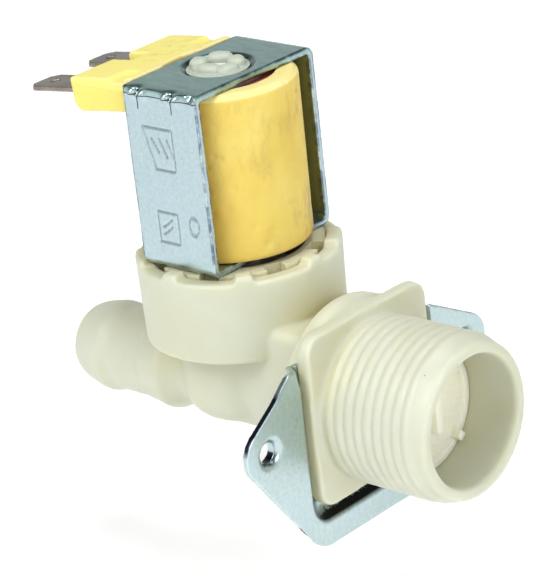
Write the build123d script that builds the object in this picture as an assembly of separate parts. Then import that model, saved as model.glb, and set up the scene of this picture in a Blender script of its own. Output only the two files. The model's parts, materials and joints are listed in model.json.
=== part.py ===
# Solenoid valve for a water inlet: threaded inlet, servo diaphragm, solenoid on top, hose tail at the back.
# Frame: origin on the inlet axis at the bracket's front face, midway between its two screw holes.
# +X points out of the inlet mouth, +Z up along the solenoid, +Y across. Millimetres throughout.
from build123d import *
import math
import os

os.makedirs("parts", exist_ok=True)

# ---- driving dimensions ------------------------------------------------------------------
solenoid_x = -24.6          # the solenoid's axis, behind the bracket's front face

thread_r = 13.2             # G 3/4 major radius
thread_pitch = 1.814
thread_depth = 0.95
thread_crest = 0.62         # width of the flat at each crest
thread_end_x = 17.7
mouth_x = 20.1
mouth_r = 12.0
inlet_bore_r = 10.3
strainer_front_x = 10.8
regulator_seat_x = -1.6
regulator_bore_r = 8.4
neck_bore_r = 5.0

flange_front_x = 0.6
flange_back_x = -2.0
flange_half = 14.0          # the flange is square
flange_rise = 0.4           # its centre stands this far above the inlet axis
flange_corner_r = 3.0
slot_back_x = -3.2          # back of the groove that takes the bracket
slot_neck_r = 11.0
collar_back_x = -5.6
collar_r = 15.3
neck_half_y = 9.3
neck_top_z = 11.8
saddle_half_y = 10.4        # solid saddle between collar and flange, over the bracket's slot
saddle_top_z = 13.2

cup_r_bottom = 15.9
cup_r_top = 16.2
cup_bottom_z = 6.8
cup_rim_z = 20.1
cup_bore_r = 13.6
cup_floor_z = 8.4
tooth_top_z = 21.2
pot_r = 11.0
pot_bottom_z = -6.4
chamber_r = 9.2
chamber_floor_z = -4.4
seat_top_z = 9.6
seat_bore_r = 3.2
seat_tube_r = 4.7

outlet_z = -2.7
outlet_end_x = -59.3
outlet_bulb_x = -53.5       # middle of the bulb's crest
outlet_bulb_r = 7.5
outlet_barrel_r = 6.9
outlet_collar_x = -39.7     # middle of the stop collar's crest
outlet_collar_r = 7.65
outlet_waist_r = 5.85       # between the stop collar and the pot
outlet_bore_r = 5.2

sheet = 1.0                 # bracket sheet
hole_half_pitch = 23.5
foot_z = -20.0
foot_half_y = 14.6          # the outline's corners before rounding
ear_y = 30.4
ear_z = 1.3
arm_top_z = 10.0
bracket_hole_r = 1.65       # tapping bore of an M4 thread
pocket_depth = 2.0
pocket_play = 0.25          # gap between the flange and the pocket's foot
side_ramp = 1.2             # how far the pocket's side walls lean out
foot_ramp = 2.5             # how far its bottom wall leans out

tube_r = 5.6                # guide tube
tube_bore_r = 4.35
tube_shoulder_z = 46.4      # the tube narrows here to pass the yoke's top hole
tube_end_r = 4.4
tube_top_z = 48.95
cap_pin_r = 1.6
cap_pin_z = 49.8
cap_r = 4.95
cap_top_z = 51.1
bonnet_base_z = 11.4
bonnet_shoulder_z = 14.4

yoke_sheet = 1.1
yoke_half_x = 7.5
yoke_half_y = 13.4
yoke_bottom_z = 20.6
yoke_top_z = 49.75
yoke_bend_r = 1.5
dish_r = 5.9                # pressed dish round the yoke's top hole
dish_depth = 0.85
top_hole_r = 4.65

coil_r_bottom = 11.9
coil_r_top = 12.1
coil_bottom_z = 21.8
coil_top_z = 48.55
coil_bevel = 0.9
bobbin_bore_r = 7.0
upper_sleeve_z = 38.5       # the flux sleeves leave a gap half-way up the guide tube
lower_sleeve_z = 18.8
lower_sleeve_top_z = 31.0
bobbin_flange_r = 9.9
bobbin_flange = 1.5
lip_r = 8.7                 # opening in the casing's lip over the bobbin's top flange
lip_depth = 0.5

block_end_x = -20.8         # terminal block's end face, from the solenoid's axis
block_half_y = 11.4
block_tilt = 6.5            # degrees, down towards the blades
blade_width = 6.3
blade_thick = 0.8
blade_y = 6.25

plunger_r = 4.2
plunger_bottom_z = 13.1
plunger_travel = 2.6
tube_end_z = 45.2           # inside of the guide tube's closed end
plunger_top_z = tube_end_z - plunger_travel - 0.1
socket_depth = 9.0          # spring socket in the plunger's top

fit_gap = 0.05              # radial gap of a fixed fit
run_gap = 0.08              # radial gap of a sliding fit


# ---- helpers -----------------------------------------------------------------------------
def save(node, shape):
    """Write one node as a STEP file."""
    shape.label = node
    export_step(shape, f"parts/{node}.step")


def turned_z(points, x=solenoid_x):
    """Solid of revolution about a vertical axis, from (radius, z) corners."""
    outline = make_face(Plane.XZ * Polyline(*points, close=True))
    return Pos(x, 0, 0) * revolve(outline, Axis.Z)


def turned_x(points, z=0.0):
    """Solid of revolution about an axis along X, from (x, radius) corners."""
    outline = make_face(Plane.XY * Polyline(*points, close=True))
    return Pos(0, 0, z) * revolve(outline, Axis.X)


def rod_x(r, x0, x1, y=0.0, z=0.0):
    """Cylinder along X between two stations."""
    return Pos((x0 + x1) / 2, y, z) * Rot(0, 90, 0) * Cylinder(r, abs(x1 - x0))


def rod_z(r, z0, z1, x=solenoid_x, y=0.0):
    """Cylinder along Z between two heights."""
    return Pos(x, y, (z0 + z1) / 2) * Cylinder(r, abs(z1 - z0))


def tube_z(r_out, r_in, z0, z1):
    """Tube about the solenoid's axis."""
    return rod_z(r_out, z0, z1) - rod_z(r_in, z0 - 1, z1 + 1)


def block(x0, x1, y0, y1, z0, z1):
    """Box between two corners."""
    return Pos((x0 + x1) / 2, (y0 + y1) / 2, (z0 + z1) / 2) * Box(abs(x1 - x0), abs(y1 - y0), abs(z1 - z0))


def plate_x(outline, x0, x1):
    """Flat outline in Y and Z, made solid between two stations along X."""
    return Pos(x0, 0, 0) * extrude(Plane.YZ * outline, amount=x1 - x0)


def about_solenoid(angle, shape):
    """Turn a shape that is built round the origin and set it on the solenoid's axis."""
    return Pos(solenoid_x, 0, 0) * Rot(0, 0, angle) * shape


# ---- body --------------------------------------------------------------------------------
def threaded_inlet():
    """Inlet tube with ring crests at the thread's pitch and a plain tapered nose."""
    root_r = thread_r - thread_depth
    points = [(flange_back_x, 0), (flange_back_x, root_r)]
    x = flange_front_x + 0.5
    flank = (thread_pitch - thread_crest) / 2
    while x + thread_pitch < thread_end_x + 0.3:
        points += [
            (x, root_r),
            (x + flank - 0.1, thread_r),
            (x + flank - 0.1 + thread_crest, thread_r),
        ]
        x += thread_pitch
    points += [(x, root_r), (x + 0.25, mouth_r + 0.55)]
    points += [(mouth_x - 0.5, mouth_r + 0.2), (mouth_x, mouth_r - 0.3), (mouth_x, 0)]
    return turned_x(points)


def flange():
    """Square flange that bears on the bracket."""
    outline = Pos(0, flange_rise) * RectangleRounded(2 * flange_half, 2 * flange_half, flange_corner_r)
    solid = plate_x(outline, flange_back_x, flange_front_x)
    return fillet(solid.edges().filter_by(Plane.YZ), 0.45)


def saddle():
    """Solid bridge between collar and flange above the bracket's slot."""
    return block(slot_back_x - 0.5, flange_back_x + 0.5, -saddle_half_y, saddle_half_y, 0, saddle_top_z)


def inlet_neck():
    """Duct from the collar to the pot: round below, squared off above."""
    duct = rod_x(neck_half_y, solenoid_x, collar_back_x + 0.5)
    crown = block(solenoid_x + 4, collar_back_x + 0.5, -neck_half_y, neck_half_y, 0, neck_top_z)
    crown = fillet(crown.edges().filter_by(Axis.X).group_by(Axis.Z)[-1], 1.6)
    return duct + crown


def collar():
    """Round collar behind the bracket's groove."""
    disc = rod_x(collar_r, collar_back_x, slot_back_x)
    disc = fillet(disc.edges().group_by(Axis.X)[0], 1.0)
    return disc


def cup():
    """Round cup for the diaphragm and bonnet, with a slight draft."""
    points = [
        (0, cup_bottom_z),
        (cup_r_bottom - 0.4, cup_bottom_z),
        (cup_r_bottom, cup_bottom_z + 0.4),
        (cup_r_top, cup_rim_z - 0.3),
        (cup_r_top - 0.3, cup_rim_z),
        (0, cup_rim_z),
    ]
    return turned_z(points)


def crown_tooth(angle, width):
    """One tooth of the crown, built as a tapered block and trimmed to the rim's ring."""
    half_base = width / 2 + 0.5
    half_top = width / 2
    outline = Polyline(
        (-half_base, cup_rim_z - 0.5),
        (half_base, cup_rim_z - 0.5),
        (half_top, tooth_top_z),
        (-half_top, tooth_top_z),
        close=True,
    )
    face = make_face(Plane.YZ * outline)
    face = fillet(face.vertices().group_by(Axis.Z)[-1], 0.5)
    return about_solenoid(angle, Pos(cup_bore_r - 1.0, 0, 0) * extrude(face, amount=4.0, dir=(1, 0, 0)))


def crown():
    """Six narrow teeth and two wide lugs that pen in the yoke's foot."""
    ring = turned_z([
        (cup_bore_r + 0.1, cup_rim_z - 0.5),
        (cup_r_top, cup_rim_z - 0.5),
        (cup_r_top, tooth_top_z - 0.6),
        (cup_r_top - 0.5, tooth_top_z),
        (cup_bore_r + 0.1, tooth_top_z),
    ])
    teeth = [crown_tooth(angle, 2.4) for angle in (-90, -45, 0, 90, 135, 180)]
    lugs = [crown_tooth(angle, 6.0) for angle in (-130, 38)]
    solid = ring & teeth[0]
    for tooth in teeth[1:] + lugs:
        solid += ring & tooth
    foot_room = block(
        solenoid_x - yoke_half_x - 0.2, solenoid_x + yoke_half_x + 0.2,
        -yoke_half_y - 0.2, yoke_half_y + 0.2,
        yoke_bottom_z - 0.2, tooth_top_z + 1,
    )
    return solid - foot_room


def pot():
    """Round pot under the cup that holds the inlet chamber."""
    solid = rod_z(pot_r, pot_bottom_z, cup_bottom_z + 1)
    return fillet(solid.edges().group_by(Axis.Z)[0], 4.0)


def hose_tail():
    """Hose tail: nose, bulb, barrel and stop collar."""
    points = [
        (outlet_end_x, 0),
        (outlet_end_x, outlet_bore_r + 0.4),
        (outlet_end_x + 0.3, outlet_bore_r + 0.8),
        (outlet_end_x + 1.3, outlet_bulb_r - 1.0),
        (outlet_end_x + 2.3, outlet_bulb_r - 0.65),
        (outlet_bulb_x - 1.5, outlet_bulb_r - 0.2),
        (outlet_bulb_x - 0.6, outlet_bulb_r),
        (outlet_bulb_x + 0.6, outlet_bulb_r),
        (outlet_bulb_x + 1.5, outlet_barrel_r + 0.25),
        (outlet_bulb_x + 2.4, outlet_barrel_r),
        (outlet_collar_x - 4.6, outlet_barrel_r),
        (outlet_collar_x - 4.2, outlet_barrel_r + 0.25),
        (outlet_collar_x - 2.0, outlet_collar_r - 0.3),
        (outlet_collar_x - 0.5, outlet_collar_r),
        (outlet_collar_x + 0.4, outlet_collar_r),
        (outlet_collar_x + 1.0, outlet_collar_r - 0.3),
        (outlet_collar_x + 2.4, outlet_waist_r + 0.6),
        (outlet_collar_x + 3.6, outlet_waist_r + 0.1),
        (outlet_collar_x + 4.6, outlet_waist_r),
        (solenoid_x, outlet_waist_r),
        (solenoid_x, 0),
    ]
    return turned_x(points, outlet_z)


def seat_and_duct():
    """Upright seat tube in the inlet chamber, and the duct from its foot to the hose tail."""
    upright = turned_z([
        (0, pot_bottom_z + 1),
        (seat_tube_r, pot_bottom_z + 1),
        (seat_tube_r, seat_top_z - 1.6),
        (seat_bore_r + 0.7, seat_top_z - 0.2),
        (seat_bore_r + 0.4, seat_top_z),
        (0, seat_top_z),
    ])
    duct = rod_x(seat_tube_r - 0.3, solenoid_x - chamber_r - 0.5, solenoid_x, z=outlet_z)
    return upright + duct


def valve_body():
    """The one moulding: inlet, flange, collar, neck, cup, pot and hose tail, with its water ways."""
    solid = cup() + pot() + inlet_neck() + hose_tail()
    solid = solid + collar() + rod_x(slot_neck_r, collar_back_x, flange_front_x)
    solid = solid + flange() + saddle() + threaded_inlet()
    solid = solid + crown()
    solid -= rod_z(cup_bore_r, cup_floor_z, tooth_top_z + 1)
    solid -= rod_z(chamber_r, chamber_floor_z, cup_floor_z + 1)
    solid -= rod_x(neck_bore_r, solenoid_x, regulator_seat_x + 1)
    solid += seat_and_duct()
    solid -= turned_x([
        (regulator_seat_x, 0),
        (regulator_seat_x, regulator_bore_r),
        (4.4, regulator_bore_r),
        (5.4, inlet_bore_r),
        (mouth_x - 0.6, inlet_bore_r),
        (mouth_x, inlet_bore_r + 0.35),
        (mouth_x + 1, inlet_bore_r + 0.35),
        (mouth_x + 1, 0),
    ])
    solid -= rod_z(seat_bore_r, outlet_z, seat_top_z + 1)
    solid -= turned_x([
        (outlet_end_x - 1, 0),
        (outlet_end_x - 1, outlet_bore_r),
        (-44.5, outlet_bore_r),
        (-40.5, seat_bore_r),
        (solenoid_x, seat_bore_r),
        (solenoid_x, 0),
    ], outlet_z)
    return solid


# ---- bracket -----------------------------------------------------------------------------
def bracket_outline():
    """Outline of the bracket in Y and Z: a foot, two ears and two arms beside the neck."""
    far = [(foot_half_y, foot_z), (ear_y, ear_z), (14.0, arm_top_z)]
    near = [(-17.2, arm_top_z), (-ear_y, ear_z), (-foot_half_y, foot_z)]
    outline = make_face(Plane.XY * Polyline(*far, *near, close=True))
    ears = [v for v in outline.vertices() if abs(v.X) > 25]
    outline = fillet(ears, 4.2)
    foot = [v for v in outline.vertices() if abs(v.Y - foot_z) < 0.01 and abs(v.X) > 10]
    outline = fillet(foot, 5.0)
    tips = [v for v in outline.vertices() if abs(v.Y - arm_top_z) < 0.01]
    return fillet(tips, 0.9)


def pocket_block(front, back, spread, grow):
    """Block of the pocket: its floor is grown by one margin, and its walls lean out towards the front."""
    far = 60.0
    half = flange_half + pocket_play + grow
    bottom = flange_rise - half
    depth = front - back
    walls = []
    for floor, ramp in (
        (Rectangle(2 * half, 2 * far), side_ramp),
        (Pos(0, bottom + far) * Rectangle(2 * far, 2 * far), foot_ramp),
    ):
        flare = math.degrees(math.atan2(ramp * spread, pocket_depth))
        walls.append(Pos(back, 0, 0) * extrude(Plane.YZ * floor, amount=depth, taper=-flare))
    return walls[0] & walls[1]


def mounting_bracket():
    """Zinc-plated plate with a pressed pocket for the flange, a slot for the neck and two tapped ears."""
    plate = plate_x(bracket_outline(), -sheet, 0)
    thick = plate_x(bracket_outline(), -pocket_depth - sheet, 0)
    outer = pocket_block(0.0, -pocket_depth - sheet, 1.0, sheet * 0.55)
    inner = pocket_block(0.2, -pocket_depth, 1.0, 0.0)
    solid = plate + (thick & outer)
    solid -= inner
    slot = plate_x(
        Rectangle(2 * slot_neck_r + 0.4, 40, align=(Align.CENTER, Align.MIN)) + Circle(slot_neck_r + 0.2), -6, 2
    )
    solid -= slot
    for side in (-1, 1):
        y = side * hole_half_pitch
        solid += rod_x(2.5, -2.2, -0.2, y=y)
        solid -= turned_x([
            (-3, 0), (-3, bracket_hole_r), (-0.35, bracket_hole_r), (0.1, bracket_hole_r + 0.45), (0.1, 0),
        ]).moved(Location((0, y, 0)))
    return solid


# ---- inlet inserts -----------------------------------------------------------------------
def inlet_strainer():
    """Pull-out strainer: rim, perforated face, spokes and a grip in the middle."""
    rim_r = inlet_bore_r - run_gap
    x1 = strainer_front_x
    solid = rod_x(rim_r, x1 - 2.6, x1) - rod_x(rim_r - 1.1, x1 - 5, x1 + 1)
    face = rod_x(rim_r - 0.9, x1 - 2.2, x1 - 1.5)
    pitch = 1.7
    holes = []
    for row in range(-5, 6):
        for col in range(-5, 6):
            y, z = col * pitch, row * pitch
            if 3.4 < math.hypot(y, z) < rim_r - 1.9:
                holes.append(block(x1 - 4, x1, y - 0.5, y + 0.5, z - 0.5, z + 0.5))
    face -= holes
    boss = rod_x(2.9, x1 - 2.2, x1 - 0.4)
    grip = block(x1 - 1.0, x1 + 2.4, -0.7, 0.7, -2.2, 2.2)
    grip = fillet(grip.edges().group_by(Axis.X)[-1], 0.35)
    spokes = [Rot(a, 0, 0) * block(x1 - 2.2, x1 - 0.9, 2.0, rim_r - 0.8, -0.45, 0.45) for a in (0, 90, 180, 270)]
    pip = Rot(-40, 0, 0) * block(x1 - 1.2, x1 + 1.0, rim_r - 1.6, rim_r - 0.5, -0.6, 0.6)
    return solid + face + boss + grip + spokes + pip


def regulator_housing():
    """Plastic cup behind the strainer that carries the flow washer."""
    r = regulator_bore_r - fit_gap
    shell = rod_x(r, regulator_seat_x, 4.2) - rod_x(r - 1.1, regulator_seat_x + 1.2, 5)
    shell -= rod_x(2.6, regulator_seat_x - 1, 5)
    ports = [Rot(60 * i, 0, 0) * rod_x(0.9, regulator_seat_x - 1, 2, y=4.4) for i in range(6)]
    return shell - ports


def regulator_washer():
    """Rubber washer whose bore narrows as the pressure rises."""
    x0 = regulator_seat_x + 1.2
    return turned_x([
        (x0, 2.2), (x0, 6.9), (x0 + 0.4, 7.1), (x0 + 2.6, 7.1), (x0 + 3.0, 6.8), (x0 + 2.2, 2.6), (x0 + 1.8, 2.2),
    ])


# ---- diaphragm and bonnet ----------------------------------------------------------------
def diaphragm_membrane():
    """Rubber membrane with a bead at its rim and one rolling fold."""
    hub = 1.55
    return turned_z([
        (hub, seat_top_z),
        (6.6, seat_top_z),
        (7.2, seat_top_z + 0.1),
        (8.2, seat_top_z - 0.35),
        (9.3, seat_top_z + 0.1),
        (10.9, cup_floor_z + 1.5),
        (11.3, cup_floor_z + 0.05),
        (13.3, cup_floor_z + 0.05),
        (13.4, bonnet_base_z - 0.05),
        (11.3, bonnet_base_z - 0.05),
        (10.8, cup_floor_z + 2.5),
        (9.2, seat_top_z + 0.9),
        (8.2, seat_top_z + 0.45),
        (7.3, seat_top_z + 0.9),
        (hub, seat_top_z + 0.9),
    ])


def diaphragm_insert():
    """Plastic hub of the diaphragm with the pilot hole, and legs that guide it in the seat."""
    z0 = seat_top_z
    disc = turned_z([
        (0, z0 + 0.95), (6.2, z0 + 0.95), (6.2, z0 + 1.5), (5.8, z0 + 1.8),
        (2.4, z0 + 1.8), (1.6, z0 + 2.4), (0.9, z0 + 2.6), (0, z0 + 2.6),
    ])
    stem = rod_z(1.5, z0 - 0.6, z0 + 1.2)
    foot = rod_z(2.5, z0 - 1.2, z0 - 0.25)
    legs = [
        about_solenoid(a, block(0, seat_bore_r - run_gap, -0.4, 0.4, z0 - 4.0, z0 - 0.25)) for a in (0, 120, 240)
    ]
    solid = disc + stem + foot + legs
    return solid - rod_z(0.55, z0 - 5, z0 + 4)


def bonnet():
    """Bonnet over the diaphragm, in one piece with the closed guide tube."""
    solid = turned_z([
        (0, bonnet_base_z),
        (13.45, bonnet_base_z),
        (13.45, bonnet_shoulder_z),
        (10.4, bonnet_shoulder_z),
        (9.8, bonnet_shoulder_z + 1.0),
        (7.2, bonnet_shoulder_z + 2.0),
        (tube_r, bonnet_shoulder_z + 3.4),
        (tube_r, tube_shoulder_z),
        (tube_end_r, tube_shoulder_z),
        (tube_end_r, tube_top_z),
        (cap_pin_r, tube_top_z),
        (cap_pin_r, cap_pin_z),
        (0, cap_pin_z),
    ])
    solid -= turned_z([
        (0, bonnet_base_z - 1),
        (11.0, bonnet_base_z - 1),
        (11.0, bonnet_base_z + 2.2),
        (10.2, bonnet_base_z + 2.8),
        (tube_bore_r, bonnet_base_z + 3.2),
        (tube_bore_r, tube_end_z),
        (0, tube_end_z),
    ])
    return solid


def clamp_ring():
    """Ring nut that screws into the cup and clamps the bonnet; its top carries the yoke."""
    ring = tube_z(cup_bore_r - fit_gap, 10.6, bonnet_shoulder_z, yoke_bottom_z)
    slots = [
        about_solenoid(45 * i + 22.5, block(11.4, 15, -1.6, 1.6, yoke_bottom_z - 2.2, yoke_bottom_z + 1))
        for i in range(8)
    ]
    return ring - slots


# ---- moving core -------------------------------------------------------------------------
def plunger():
    """Magnetic core with flats for the water and sockets for the seal and the spring."""
    solid = rod_z(plunger_r, plunger_bottom_z, plunger_top_z)
    solid = chamfer(solid.edges().group_by(Axis.Z)[0], 0.5)
    solid = chamfer(solid.edges().group_by(Axis.Z)[-1], 0.3)
    solid -= rod_z(1.9, plunger_bottom_z - 1, plunger_bottom_z + 2.0)
    solid -= rod_z(2.6, plunger_top_z - socket_depth, plunger_top_z + 1)
    grooves = [
        about_solenoid(a, block(plunger_r - 0.5, plunger_r + 1, -0.8, 0.8, 0, 60)) for a in (0, 90, 180, 270)
    ]
    return solid - grooves


def plunger_seal():
    """Rubber pad in the plunger's nose that shuts the pilot hole."""
    pilot_z = seat_top_z + 2.6
    return turned_z([
        (0, pilot_z + 0.02), (1.5, pilot_z + 0.02), (1.86, pilot_z + 0.4),
        (1.86, plunger_bottom_z + 2.0), (0, plunger_bottom_z + 2.0),
    ])


def plunger_spring():
    """Closing spring between the plunger's socket and the tube's closed end."""
    wire = 0.25
    mean_r = 2.1
    z0 = plunger_top_z - socket_depth + wire
    z1 = tube_end_z - wire
    turns = 9
    path = Helix(pitch=(z1 - z0) / turns, height=z1 - z0, radius=mean_r)
    start = Plane(origin=path @ 0, z_dir=path % 0)
    coil = sweep(start * Circle(wire), path=path)
    return Pos(solenoid_x, 0, z0) * coil


# ---- solenoid ----------------------------------------------------------------------------
def yoke_frame():
    """Closed frame of bent strip round the coil."""
    mid_z = (yoke_bottom_z + yoke_top_z) / 2
    high = yoke_top_z - yoke_bottom_z
    outer = RectangleRounded(2 * yoke_half_y, high, yoke_bend_r)
    inner = RectangleRounded(
        2 * (yoke_half_y - yoke_sheet), high - 2 * yoke_sheet, yoke_bend_r - yoke_sheet + 0.1
    )
    strip = plate_x(Pos(0, mid_z) * (outer - inner), -yoke_half_x, yoke_half_x)
    return Pos(solenoid_x, 0, 0) * strip


def yoke_marks():
    """Shallow plain stamps on the side plate: bars and a ring."""
    face_y = -yoke_half_y
    depth = 0.15
    left = solenoid_x - yoke_half_x
    marks = []
    for i in range(4):
        x = left + 4.0 + 0.5 * i
        z = yoke_top_z - 7.2 - 1.5 * i
        marks.append(block(x, left + 8.4, face_y - 1, face_y + depth, z, z + 0.55))
    for i in range(3):
        x = left + 4.8 + 1.2 * i
        z = yoke_bottom_z + 5.4
        marks.append(block(x, x + 0.5, face_y - 1, face_y + depth, z, z + 3.4))
    ring = Cylinder(1.0, 2 * depth) - Cylinder(0.6, 1)
    marks.append(Pos(left + 11.6, face_y, yoke_bottom_z + 8.2) * Rot(90, 0, 0) * ring)
    return marks


def yoke():
    """Yoke with its tube holes, the dished rim on top, the staked joint and plain stamps."""
    solid = yoke_frame()
    solid -= rod_z(bobbin_bore_r, yoke_bottom_z - 1, yoke_bottom_z + 3)
    lip_z = yoke_top_z - dish_depth
    solid += tube_z(tube_r - 0.1, top_hole_r, lip_z - 0.8, yoke_top_z - 0.1)
    solid -= turned_z([
        (0, yoke_top_z - 3), (top_hole_r, yoke_top_z - 3), (top_hole_r, lip_z),
        (dish_r, yoke_top_z), (dish_r, yoke_top_z + 1), (0, yoke_top_z + 1),
    ])
    for x in (solenoid_x - 4.6, solenoid_x + 2.3):
        slit_z = yoke_top_z - 3.1
        solid -= block(
            x - 0.12, x + 0.12, -yoke_half_y - 1, -yoke_half_y + yoke_sheet, slit_z, yoke_top_z - 1.0
        )
        solid -= Pos(x, -yoke_half_y, yoke_top_z) * Rot(45, 0, 0) * Cone(1.5, 0.3, 1.4)
    for mark in yoke_marks():
        solid -= mark
    return solid


def flux_sleeve(z0, z1):
    """Steel sleeve round the guide tube."""
    return tube_z(bobbin_bore_r - fit_gap, tube_r + fit_gap, z0, z1)


def coil_bobbin():
    """Spool of the winding."""
    spool = tube_z(bobbin_bore_r + 0.8, bobbin_bore_r, coil_bottom_z, coil_top_z - lip_depth)
    low = tube_z(bobbin_flange_r, bobbin_bore_r, coil_bottom_z, coil_bottom_z + bobbin_flange)
    high = tube_z(bobbin_flange_r, bobbin_bore_r, coil_top_z - bobbin_flange, coil_top_z - lip_depth)
    return spool + low + high


def coil_winding():
    """Copper winding as one solid with the outline of its layers."""
    z0 = coil_bottom_z + bobbin_flange
    z1 = coil_top_z - bobbin_flange
    return tube_z(bobbin_flange_r - 0.3, bobbin_bore_r + 0.8, z0, z1)


def in_block(shape):
    """Place something built in the terminal block's own flat frame: origin at its end's mid-plane."""
    return Pos(solenoid_x + block_end_x, 0, 45.7) * Rot(0, -block_tilt, 0) * shape


def terminal(y):
    """Blade terminal with chamfered tip corners and a detent hole."""
    tip = -12.2
    root = 9.0
    half = blade_width / 2
    outline = make_face(Polyline(
        (root, y - half), (tip + 1.2, y - half), (tip, y - half + 1.3), (tip, y + half - 1.3),
        (tip + 1.2, y + half), (root, y + half), close=True,
    ))
    blade = extrude(outline, amount=blade_thick / 2, both=True)
    blade -= Pos(tip + 3.3, y, 0) * Cylinder(0.85, 3)
    return in_block(blade)


def lead_wires():
    """The winding's two ends, each soldered to a blade's root."""
    x0 = solenoid_x - math.sqrt(bobbin_flange_r**2 - 4.1**2) + 0.05
    return [rod_x(0.3, x0 - 3.6, x0, y=4.1 * side, z=45.9) for side in (-1, 1)]


def terminal_block():
    """Two lobes that carry the blades, with a notch between them and a step down by the yoke."""
    body = block(0, 15.5, -block_half_y, block_half_y, -2.75, 2.75)
    end_edges = body.edges().group_by(Axis.X)[0]
    body = fillet(end_edges, 0.5)
    body -= block(-1, 4.6, -1.7, 1.7, -4, 4)
    body -= Pos(0, 0, -2.75) * Rot(0, 45, 0) * Box(1.8, 30, 1.8)
    body -= block(8.6, 12.0, -block_half_y - 1, -block_half_y + 4.2, 2.1, 4)
    body -= block(8.6, 12.0, block_half_y - 4.2, block_half_y + 1, 2.1, 4)
    for side in (-1, 1):
        y = side * block_half_y
        body -= block(4.6, 16, y - 0.2, y + 0.2, -3, 0.2)
    return in_block(body)


def coil_casing():
    """Yellow casing moulded round the winding, with the terminal block at the back."""
    shell = turned_z([
        (0, coil_bottom_z), (coil_r_bottom - 0.3, coil_bottom_z), (coil_r_bottom, coil_bottom_z + 0.3),
        (coil_r_top, coil_top_z - coil_bevel), (coil_r_top - coil_bevel, coil_top_z), (0, coil_top_z),
    ])
    ceiling = yoke_top_z - yoke_sheet - 0.1
    root = terminal_block() - block(-40, 0, -20, 20, ceiling, 60)
    outside = terminal_block() & block(-60, solenoid_x - yoke_half_x - 0.1, -20, 20, 30, 60)
    solid = shell + root + outside
    solid -= rod_z(bobbin_flange_r, coil_bottom_z - 1, coil_top_z - lip_depth)
    solid -= rod_z(lip_r, coil_top_z - 1, coil_top_z + 3)
    return solid


def retaining_cap():
    """Castellated cap pressed on the guide tube's pin; it sits in the yoke's dish."""
    seat_z = yoke_top_z - dish_depth * (dish_r - cap_r) / (dish_r - top_hole_r) + 0.03
    solid = turned_z([
        (cap_pin_r + fit_gap, tube_top_z + 0.02), (tube_end_r, tube_top_z + 0.02), (cap_r - 0.1, seat_z),
        (cap_r, seat_z + 0.2), (cap_r, cap_top_z - 0.7), (cap_r - 0.5, cap_top_z), (3.4, cap_top_z),
        (3.1, cap_top_z - 0.8), (0, cap_top_z - 0.8), (0, cap_pin_z + fit_gap),
        (cap_pin_r + fit_gap, cap_pin_z + fit_gap),
    ])
    notches = [
        about_solenoid(36 + 60 * i, block(3.4, cap_r + 1, -0.8, 0.8, cap_top_z - 1.0, cap_top_z + 1))
        for i in range(6)
    ]
    return solid - notches


# ---- write every node --------------------------------------------------------------------
near_blade = terminal(-blade_y)
far_blade = terminal(blade_y)
wires = [wire - near_blade - far_blade for wire in lead_wires()]
casing = coil_casing() - near_blade - far_blade - wires

nodes = {
    "valve_body": valve_body(),
    "mounting_bracket": mounting_bracket(),
    "inlet_strainer": inlet_strainer(),
    "regulator_housing": regulator_housing(),
    "regulator_washer": regulator_washer(),
    "diaphragm_membrane": diaphragm_membrane(),
    "diaphragm_insert": diaphragm_insert(),
    "bonnet": bonnet(),
    "clamp_ring": clamp_ring(),
    "plunger": plunger(),
    "plunger_seal": plunger_seal(),
    "plunger_spring": plunger_spring(),
    "yoke": yoke(),
    "upper_flux_sleeve": flux_sleeve(upper_sleeve_z, yoke_top_z - yoke_sheet),
    "lower_flux_sleeve": flux_sleeve(lower_sleeve_z, lower_sleeve_top_z),
    "coil_bobbin": coil_bobbin(),
    "coil_winding": coil_winding(),
    "winding_leads": Compound(children=wires),
    "coil_casing": casing,
    "terminal_near": near_blade,
    "terminal_far": far_blade,
    "retaining_cap": retaining_cap(),
}

for node, shape in nodes.items():
    save(node, shape)
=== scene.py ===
import json
import math

import bmesh
import bpy
import numpy as np
from mathutils import Matrix, Vector


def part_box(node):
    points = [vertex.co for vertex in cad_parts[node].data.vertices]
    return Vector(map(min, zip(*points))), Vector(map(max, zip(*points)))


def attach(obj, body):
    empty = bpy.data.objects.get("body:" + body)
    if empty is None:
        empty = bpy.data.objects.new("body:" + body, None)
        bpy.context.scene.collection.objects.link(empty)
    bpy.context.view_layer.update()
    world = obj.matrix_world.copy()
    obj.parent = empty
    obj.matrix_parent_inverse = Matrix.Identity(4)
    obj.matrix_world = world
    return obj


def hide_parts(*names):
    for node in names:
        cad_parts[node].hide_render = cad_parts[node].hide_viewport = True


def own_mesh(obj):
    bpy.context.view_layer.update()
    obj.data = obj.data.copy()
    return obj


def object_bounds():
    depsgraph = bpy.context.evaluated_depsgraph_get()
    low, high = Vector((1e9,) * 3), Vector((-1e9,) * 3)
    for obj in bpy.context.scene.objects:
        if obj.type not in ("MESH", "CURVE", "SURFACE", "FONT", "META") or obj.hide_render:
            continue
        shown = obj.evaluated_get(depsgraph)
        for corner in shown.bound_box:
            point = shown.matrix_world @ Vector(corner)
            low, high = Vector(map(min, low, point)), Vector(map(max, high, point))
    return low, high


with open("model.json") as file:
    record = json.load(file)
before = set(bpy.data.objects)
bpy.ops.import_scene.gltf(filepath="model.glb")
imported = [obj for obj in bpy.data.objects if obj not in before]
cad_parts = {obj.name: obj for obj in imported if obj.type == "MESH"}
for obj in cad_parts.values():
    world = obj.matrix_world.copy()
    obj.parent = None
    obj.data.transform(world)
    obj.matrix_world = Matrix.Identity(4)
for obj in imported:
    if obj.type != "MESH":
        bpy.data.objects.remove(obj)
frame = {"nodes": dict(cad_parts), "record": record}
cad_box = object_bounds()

MM = 0.001


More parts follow.
